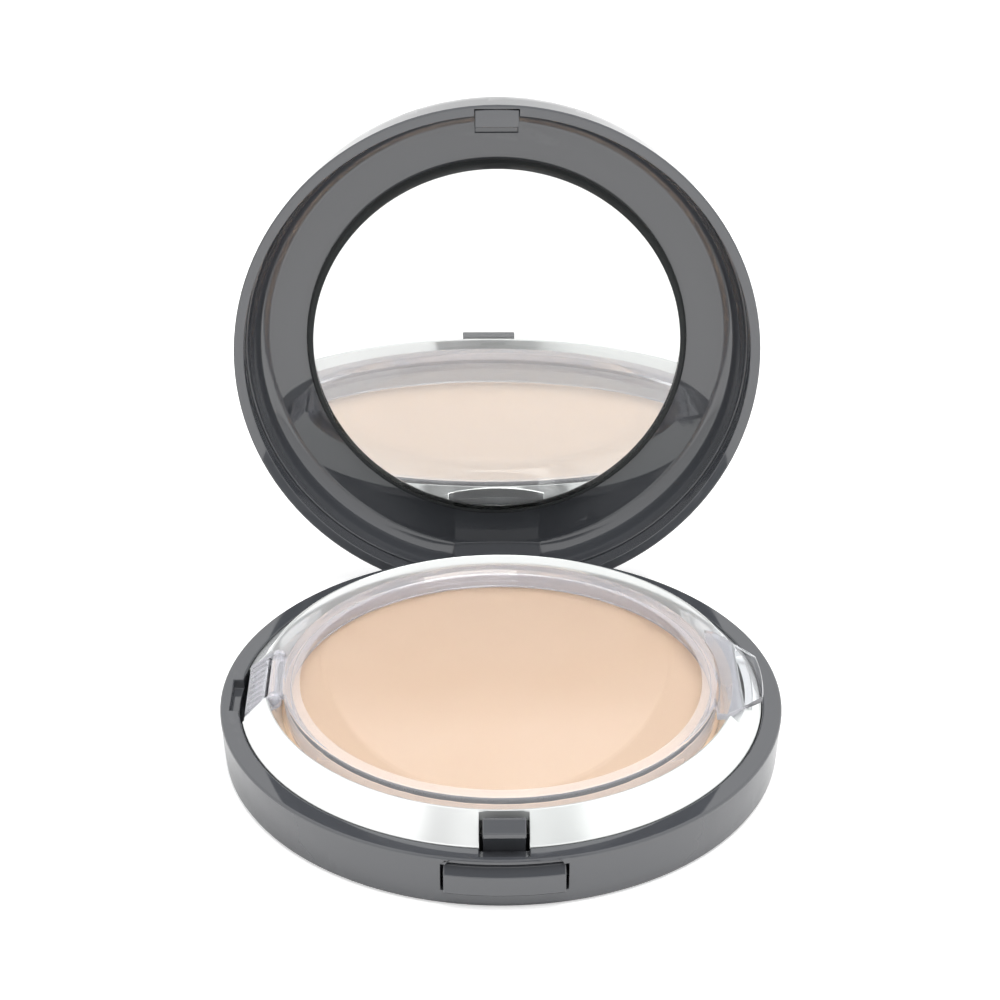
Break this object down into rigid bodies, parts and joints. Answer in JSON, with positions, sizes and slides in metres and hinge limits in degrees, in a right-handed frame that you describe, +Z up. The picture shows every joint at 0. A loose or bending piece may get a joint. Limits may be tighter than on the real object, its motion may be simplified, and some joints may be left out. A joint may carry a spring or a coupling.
{
  "type": "powder compact",
  "caption": "Round hinged powder compact, standing open: mirror in the lid, pressed powder in a lift-out bright ring under its own clear hinged lid, push-button latch.",
  "frame": {"origin": "centre of the round underside, on the surface that the compact stands on", "axes": "+Z up, +Y from the push button towards the main hinge, +X to the right of a person facing the button; the clear lid's hinge is at -X and its tab at +X"},
  "size_m": [0.075, 0.0895, 0.0752],
  "materials": {
    "case": "dark charcoal moulded plastic, high gloss",
    "inner_plastic": "black moulded plastic, satin",
    "bright_ring": "vacuum-metallised plastic, mirror bright",
    "clear_plastic": "clear moulded plastic, polished",
    "pan": "thin pressed aluminium",
    "powder": "pressed beige powder, matt, very fine grain",
    "mirror": "silvered glass",
    "steel": "drawn steel wire and strip",
    "pad": "white double-sided foam pad",
    "label": "blank grey film label, satin"
  },
  "bodies": {
    "base": {"base_shell": "case", "base_label": "label", "latch_housing": "inner_plastic", "latch_spring": "steel"},
    "lid": {"lid_shell": "case", "lid_frame": "case", "mirror": "mirror", "mirror_pad": "pad"},
    "refill": {"refill_tray": "inner_plastic", "refill_ring": "bright_ring", "powder_pan": "pan", "powder_cake": "powder", "clear_lid_bracket": "clear_plastic"},
    "clear_cover": {"clear_lid": "clear_plastic"},
    "button": {"latch_button": "case", "latch_hook": "case"},
    "pin": {"hinge_pin": "steel"}
  },
  "joints": [
    {"name": "lid_hinge", "type": "hinge", "parent": "base", "child": "lid", "pos_m": [0, 0.0343, 0.0037], "axis": [-1, 0, 0], "range_deg": [-93, 0]},
    {"name": "clear_lid_hinge", "type": "hinge", "parent": "refill", "child": "clear_cover", "pos_m": [-0.0299, 0, 0.01], "axis": [0, -1, 0], "range_deg": [0, 105]},
    {"name": "button_press", "type": "slide", "parent": "base", "child": "button", "axis": [0, 1, 0], "range_m": [0, 0.001], "stiffness_N_per_m": 3000, "springref_m": -0.0004, "deforming": ["latch_spring"]},
    {"name": "refill_lift", "type": "slide", "parent": "base", "child": "refill", "axis": [0, 0, 1], "range_m": [0, 0.008]},
    {"name": "hinge_pin_turn", "type": "hinge", "parent": "base", "child": "pin", "pos_m": [0, 0.0343, 0.0037], "axis": [1, 0, 0], "continuous": true}
  ]
}
